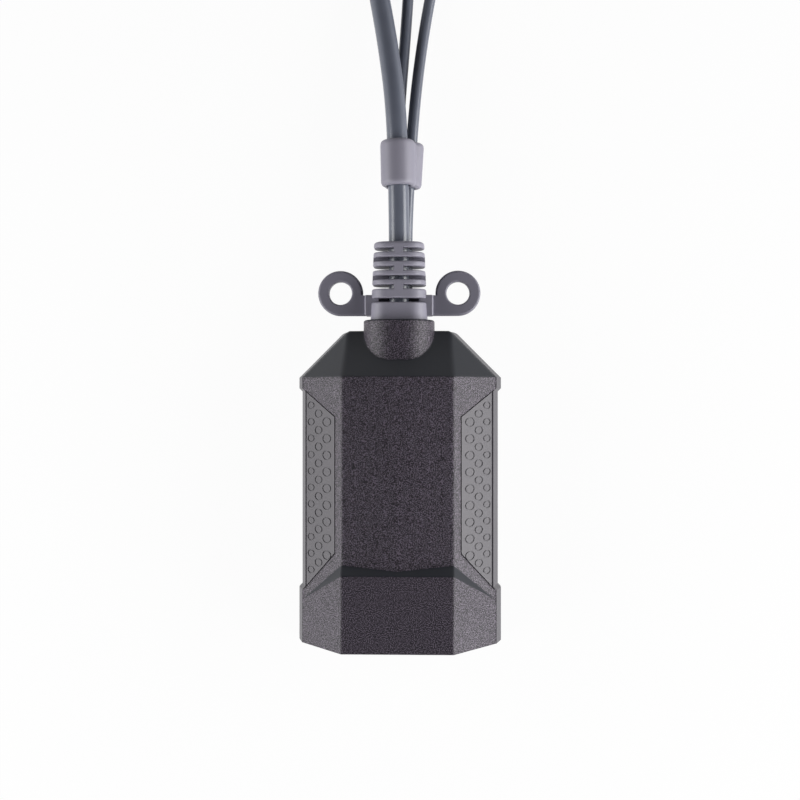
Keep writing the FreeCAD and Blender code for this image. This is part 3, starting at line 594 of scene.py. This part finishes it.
@dataclass
class Plug:
    """A moulded plug: a grooved handle with a ribbed neck, a metal shell, a core and its contacts."""

    prefix: str
    contact_rows_mm: Sequence[tuple[float, int, float]]
    contact_width_mm: float
    contact_start_mm: float
    contact_length_mm: float
    contact_height_mm: float = 0.25
    contact_edge_mm: float = 0.075
    contact_edge_steps: int = 2
    neck_mm: float = 8.0
    neck_radii_mm: tuple[float, float] = (2.5, 3.3)
    neck_ribs: int = 4
    neck_rib_mm: float = 0.45
    neck_steps: int = 40
    corner_mm: float = 2.2
    corner_steps: int = 6
    front_rim_mm: float = 0.5
    back_rim_mm: float = 1.5
    rim_steps: int = 4
    flat_turn: float = 0.999
    grooves: int = 5
    groove_mm: float = 1.7
    groove_pitch_mm: float = 2.6
    groove_margin_mm: float = 0.35
    groove_depth_mm: float = 0.5

    def build(self, palette: Palette) -> list[bpy.types.Object]:
        """Makes the handle and the contacts, and dresses the rest.

        Args:
            palette: Where the finishes come from.

        Returns:
            The pieces.
        """
        handle = f"{self.prefix}_handle"
        pieces = [
            palette.place_piece(
                finished_mesh(self.handle(), handle), handle, Surface.PLUG_GRIP,
                [f"{self.prefix}_grip"],
            ),
            self.contacts(palette),
        ]
        for part, surface in (("shell", Surface.NICKEL), ("core", Surface.BLACK_NYLON)):
            palette.dress_node(f"{self.prefix}_{part}", surface)
            pieces.append(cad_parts[f"{self.prefix}_{part}"])
        return pieces

    def handle(self) -> bmesh.types.BMesh:
        """Shapes the handle.

        Returns:
            The rounded body with finger grooves in both flat sides, and the neck.
        """
        low, high = (Vector(corner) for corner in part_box(f"{self.prefix}_grip"))
        back = Vector((low.x, low.y + self.neck_mm * MM, low.z))
        middle, size = (back + high) / 2, high - back
        shape = bmesh.new()
        bmesh.ops.create_cube(
            shape, size=1.0, matrix=Matrix.Translation(middle) @ Matrix.Diagonal((*size, 1.0))
        )
        self.round_corners(shape, size.y / 2)
        for place, rim in ((back.y, self.back_rim_mm), (high.y, self.front_rim_mm)):
            self.round_rim(shape, place, rim)
        self.cut_grooves(shape, middle)
        self.add_neck(shape, Vector((middle.x, low.y, middle.z)))
        return shape

    def round_corners(self, shape: bmesh.types.BMesh, longer_than: float) -> None:
        """Rounds the edges along the plug.

        Args:
            shape: The body.
            longer_than: The least length of such an edge along the plug.
        """
        edges = [
            edge for edge in shape.edges
            if abs(edge.verts[0].co.y - edge.verts[1].co.y) > longer_than
        ]
        bmesh.ops.bevel(
            shape, geom=edges, offset=self.corner_mm * MM, segments=self.corner_steps, affect="EDGES",
            profile=0.5, material=-1,
        )

    def round_rim(self, shape: bmesh.types.BMesh, place: float, radius_mm: float) -> None:
        """Rounds the rim round one end of the body.

        Args:
            shape: The body.
            place: Where that end lies along the plug.
            radius_mm: The rounding.
        """
        edges = [
            edge for edge in shape.edges
            if all(abs(vert.co.y - place) < MERGE_DISTANCE for vert in edge.verts)
        ]
        bmesh.ops.bevel(
            shape, geom=edges, offset=radius_mm * MM, segments=self.rim_steps, affect="EDGES", profile=0.5,
            material=-1,
        )

    def cut_grooves(self, shape: bmesh.types.BMesh, middle: Vector) -> None:
        """Presses finger grooves across the body's two flat sides.

        Args:
            shape: The body.
            middle: The body's centre.
        """
        starts = [
            middle.y + ((index - (self.grooves - 1) / 2) * self.groove_pitch_mm - self.groove_mm / 2) * MM
            for index in range(self.grooves)
        ]
        for start in starts:
            for place in (start, start + self.groove_mm * MM):
                bmesh.ops.bisect_plane(
                    shape, geom=shape.verts[:] + shape.edges[:] + shape.faces[:], dist=MERGE_DISTANCE,
                    plane_co=(0.0, place, 0.0), plane_no=(0.0, 1.0, 0.0),
                )
        shape.normal_update()
        strips = [
            face for face in shape.faces
            if abs(face.normal.z) > self.flat_turn
            and any(start < face.calc_center_median().y < start + self.groove_mm * MM for start in starts)
        ]
        bmesh.ops.inset_individual(
            shape, faces=strips, thickness=self.groove_margin_mm * MM, depth=-self.groove_depth_mm * MM
        )

    def add_neck(self, shape: bmesh.types.BMesh, start: Vector) -> None:
        """Turns the neck: a cone with a row of flexible ribs.

        Args:
            shape: The body, which takes the neck.
            start: The middle of the neck's thin end.
        """
        length, (thin, thick) = self.neck_mm, self.neck_radii_mm
        outline = [(0.0, 0.0)]
        cells = 2 * self.neck_ribs
        for cell in range(cells):
            inset = self.neck_rib_mm if cell % 2 else 0.0
            for along in (cell * length / cells, (cell + 1) * length / cells):
                outline.append((thin + (thick - thin) * along / length - inset, along))
        outline.append((0.0, length))
        verts = [shape.verts.new(start + Vector((radius, along, 0.0)) * MM) for radius, along in outline]
        edges = [shape.edges.new(pair) for pair in zip(verts, verts[1:])]
        bmesh.ops.spin(
            shape, geom=verts + edges, cent=start, axis=(0.0, 1.0, 0.0), angle=math.tau,
            steps=self.neck_steps, use_merge=True,
        )
        bmesh.ops.remove_doubles(shape, verts=shape.verts, dist=MERGE_DISTANCE)
        bmesh.ops.recalc_face_normals(shape, faces=shape.faces)

    def contacts(self, palette: Palette) -> bpy.types.Object:
        """Makes the contact strips in the plug's mouth.

        Args:
            palette: Where the finish comes from.

        Returns:
            The strips, as one piece.
        """
        low, high = (Vector(corner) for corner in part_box(f"{self.prefix}_core"))
        shape = bmesh.new()
        size = Vector((self.contact_width_mm, self.contact_length_mm, self.contact_height_mm)) * MM
        along = low.y + self.contact_start_mm * MM + size.y / 2
        for height, count, pitch in self.contact_rows_mm:
            for index in range(count):
                across = (low.x + high.x) / 2 + (index - (count - 1) / 2) * pitch * MM
                place = Vector((across, along, (low.z + high.z) / 2 + height * MM))
                bmesh.ops.create_cube(
                    shape, size=1.0, matrix=Matrix.Translation(place) @ Matrix.Diagonal((*size, 1.0))
                )
        bmesh.ops.bevel(
            shape, geom=shape.edges[:], offset=self.contact_edge_mm * MM, segments=self.contact_edge_steps,
            affect="EDGES", profile=0.5, material=-1,
        )
        name = f"{self.prefix}_contacts"
        return palette.place_piece(finished_mesh(shape, name), name, Surface.GOLD)


PLUGS = (
    Plug("video_plug", ((0.9, 10, 1.0), (-0.9, 9, 1.0)), 0.5, 3.2, 7.4, neck_radii_mm=(3.9, 4.7)),
    Plug("usb_plug_a", ((-0.15, 4, 2.3),), 1.1, 3.4, 6.6),
    Plug("usb_plug_b", ((-0.15, 4, 2.3),), 1.1, 3.4, 6.6),
)


@dataclass
class JackContacts:
    """The network jack's springs: each wire runs along the socket's roof and folds back down."""

    count: int = 8
    pitch_mm: float = 1.02
    width_mm: float = 0.45
    wire_mm: float = 0.22
    # One spring seen from the side: from the socket's back, and below its roof
    spring_mm: Sequence[tuple[float, float]] = (
        (0.0, 0.1), (6.2, 0.1), (6.6, 0.25), (6.7, 0.5), (6.4, 0.7), (1.2, 1.6), (0.6, 1.5),
    )

    def build(self, palette: Palette) -> bpy.types.Object:
        """Bends the springs.

        Args:
            palette: Where the finish comes from.

        Returns:
            The springs, as one piece.
        """
        low, high = (Vector(corner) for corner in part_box("jack_contacts"))
        shape = bmesh.new()
        for index in range(self.count):
            across = low.x + index * self.pitch_mm * MM
            verts = [
                shape.verts.new((across, high.y - along * MM, high.z - drop * MM))
                for along, drop in self.spring_mm
            ]
            edges = [shape.edges.new(pair) for pair in zip(verts, verts[1:])]
            strip = bmesh.ops.extrude_edge_only(shape, edges=edges)["geom"]
            far_side = [item for item in strip if isinstance(item, bmesh.types.BMVert)]
            bmesh.ops.translate(shape, verts=far_side, vec=(self.width_mm * MM, 0.0, 0.0))
        bmesh.ops.recalc_face_normals(shape, faces=shape.faces)
        bmesh.ops.solidify(shape, geom=shape.faces[:], thickness=self.wire_mm * MM)
        mesh = finished_mesh(shape, "jack_springs")
        return palette.place_piece(mesh, "jack_springs", Surface.GOLD, ["jack_contacts"])


class Inside:
    """What sits inside the housing, and the network port."""

    finishes: dict[Surface, tuple[str, ...]] = {
        Surface.LEAD: ("video_lead_tail", "usb_lead_a_tail", "usb_lead_b_tail"),
        Surface.BOARD: ("main_board",),
        Surface.ZINC: ("board_screws",),
        Surface.BLACK_NYLON: ("network_jack",),
        Surface.WINDOW: ("jack_lights",),
        Surface.EPOXY: (
            "processor", "memory_chips", "flash_chip", "video_receiver", "usb_hub_chip", "inductors",
        ),
        Surface.SILICONE: ("thermal_pad",),
        Surface.ALUMINIUM: ("heat_sink",),
        Surface.CAN: ("crystals", "capacitors"),
        Surface.IVORY_NYLON: (
            "video_header", "usb_a_header", "usb_b_header",
            "video_crimp_housing", "usb_a_crimp_housing", "usb_b_crimp_housing",
        ),
    }

    def build(self, palette: Palette) -> None:
        """Dresses every inner piece.

        Args:
            palette: Where the finishes come from.
        """
        for surface, names in self.finishes.items():
            for name in names:
                palette.dress_node(name, surface)
        JackContacts().build(palette)


@dataclass
class SoftBox:
    """A soft panel light that faces a point."""

    name: str
    place: tuple[float, float, float]
    aim: tuple[float, float, float]
    width: float
    height: float
    watts: float

    def build(self) -> bpy.types.Object:
        """Makes the light.

        Returns:
            The light's object.
        """
        light = bpy.data.lights.new(self.name, "AREA")
        light.shape = "RECTANGLE"
        light.size = self.width
        light.size_y = self.height
        light.energy = self.watts
        panel = bpy.data.objects.new(self.name, light)
        panel.location = self.place
        panel.rotation_euler = (Vector(self.aim) - Vector(self.place)).to_track_quat("-Z", "Y").to_euler()
        bpy.context.scene.collection.objects.link(panel)
        return panel


@dataclass
class Studio:
    """The floor, the light and the camera."""

    floor_size: float = 6.0
    floor_drop: float = 0.00002
    floor_white: float = 0.95
    paper: str = "#E6E6E6"
    white: str = "#FFFFFF"
    ambient: float = 0.2
    ceiling: tuple[float, float] = (0.05, 0.6)
    ceiling_dark: float = 0.1
    target_mm: tuple[float, float, float] = (0.28, 26.25, 12.5)
    camera_mm: tuple[float, float, float] = (14.12, 26.25, 408.86)
    lens_mm: float = 59.99
    sensor_mm: float = 36.0
    clip: tuple[float, float] = (0.01, 20.0)
    aim: tuple[float, float, float] = (0.0, 0.0, 0.012)

    def build(self) -> None:
        """Makes the set."""
        self.floor()
        self.world()
        self.camera()
        SoftBox("right_softbox", (0.46, -0.087, 0.158), self.aim, 0.65, 0.3, 5.0).build()
        SoftBox("left_softbox", (-0.437, -0.087, 0.161), self.aim, 0.6, 0.28, 3.25).build()

    def floor(self) -> None:
        """Makes a pale floor that shows white, and keeps the adapter's shadow."""
        shape = bmesh.new()
        bmesh.ops.create_grid(shape, x_segments=1, y_segments=1, size=self.floor_size / 2)
        bmesh.ops.translate(shape, verts=shape.verts, vec=(0.0, 0.0, -self.floor_drop))
        mesh = bpy.data.meshes.new("floor")
        shape.to_mesh(mesh)
        shape.free()
        floor = bpy.data.objects.new("floor", mesh)
        bpy.context.scene.collection.objects.link(floor)
        material = bpy.data.materials.new("white_paper")
        material.use_nodes = True
        tree = material.node_tree
        tree.nodes.clear()
        paper = add_node(tree, "ShaderNodeBsdfDiffuse", inputs={"Color": linear(self.paper)})
        glow = add_node(tree, "ShaderNodeEmission", inputs={"Color": linear(self.white), "Strength": 1.0})
        share = add_node(tree, "ShaderNodeMath", {"operation": "MULTIPLY"}, {
            0: self.seen(tree), 1: self.floor_white,
        }).outputs["Value"]
        mixed = add_node(tree, "ShaderNodeMixShader", inputs={
            0: share, 1: paper.outputs["BSDF"], 2: glow.outputs["Emission"],
        })
        add_node(tree, "ShaderNodeOutputMaterial", inputs={"Surface": mixed.outputs["Shader"]})
        mesh.materials.append(material)

    def seen(self, tree: bpy.types.NodeTree) -> bpy.types.NodeSocket:
        """One where the floor is seen directly, in a reflection or through glass.

        Args:
            tree: The nodes that ask.

        Returns:
            The socket that gives it.
        """
        path = add_node(tree, "ShaderNodeLightPath").outputs
        return add_node(tree, "ShaderNodeMath", {"operation": "MAXIMUM"}, {
            0: path["Is Camera Ray"], 1: self.mirrored(tree),
        }).outputs["Value"]

    def mirrored(self, tree: bpy.types.NodeTree) -> bpy.types.NodeSocket:
        """One where the floor or the world is seen in a reflection or through glass.

        Args:
            tree: The nodes that ask.

        Returns:
            The socket that gives it.
        """
        path = add_node(tree, "ShaderNodeLightPath").outputs
        return add_node(tree, "ShaderNodeMath", {"operation": "MAXIMUM"}, {
            0: path["Is Glossy Ray"], 1: path["Is Transmission Ray"],
        }).outputs["Value"]

    def world(self) -> None:
        """Makes a world that shows white, lights the adapter dimly and reflects dark overhead."""
        world = bpy.data.worlds.new("studio")
        world.use_nodes = True
        tree = world.node_tree
        tree.nodes.clear()
        direction = add_node(tree, "ShaderNodeTexCoord").outputs["Generated"]
        height = add_node(tree, "ShaderNodeSeparateXYZ", inputs={0: direction}).outputs["Z"]
        wall = add_node(tree, "ShaderNodeMapRange", inputs={
            "Value": height, "From Min": self.ceiling[0], "From Max": self.ceiling[1],
            "To Min": 1.0, "To Max": self.ceiling_dark,
        }).outputs["Result"]
        level = add_node(tree, "ShaderNodeMapRange", inputs={
            "Value": self.mirrored(tree), "To Min": self.ambient, "To Max": 1.0,
        }).outputs["Result"]
        lit = add_node(tree, "ShaderNodeMath", {"operation": "MULTIPLY"}, {
            0: wall, 1: level,
        }).outputs["Value"]
        direct = add_node(tree, "ShaderNodeLightPath").outputs["Is Camera Ray"]
        strength = add_node(tree, "ShaderNodeMath", {"operation": "MAXIMUM"}, {
            0: lit, 1: direct,
        }).outputs["Value"]
        back = add_node(tree, "ShaderNodeBackground", inputs={
            "Color": linear(self.white), "Strength": strength,
        })
        add_node(tree, "ShaderNodeOutputWorld", inputs={"Surface": back.outputs["Background"]})
        bpy.context.scene.world = world

    def camera(self) -> None:
        """Makes the camera: straight above, a little to the right, the leads upwards."""
        lens = bpy.data.cameras.new("camera")
        lens.lens = self.lens_mm
        lens.sensor_width = self.sensor_mm
        lens.clip_start, lens.clip_end = self.clip
        camera = bpy.data.objects.new("camera", lens)
        place = Vector(self.camera_mm) * MM
        back = (place - Vector(self.target_mm) * MM).normalized()
        up = Vector((0.0, 1.0, 0.0))
        right = up.cross(back).normalized()
        turn = Matrix((right, back.cross(right), back)).transposed()
        camera.matrix_world = Matrix.Translation(place) @ turn.to_4x4()
        bpy.context.scene.collection.objects.link(camera)
        bpy.context.scene.camera = camera
        bpy.context.scene.view_settings.view_transform = "Standard"


def main() -> None:
    """Builds the adapter and its set."""
    logging.basicConfig(level=logging.INFO, format="%(name)s: %(message)s")
    palette = Palette()
    Housing().build(palette)
    sleeve = CableExit().build(palette)
    Inside().build(palette)
    for lead, plug in zip(LEADS, PLUGS):
        pieces = plug.build(palette)
        lead.build(palette, pieces + [sleeve] if lead is LEADS[0] else pieces)
    Studio().build()


if __name__ == "__main__":
    main()
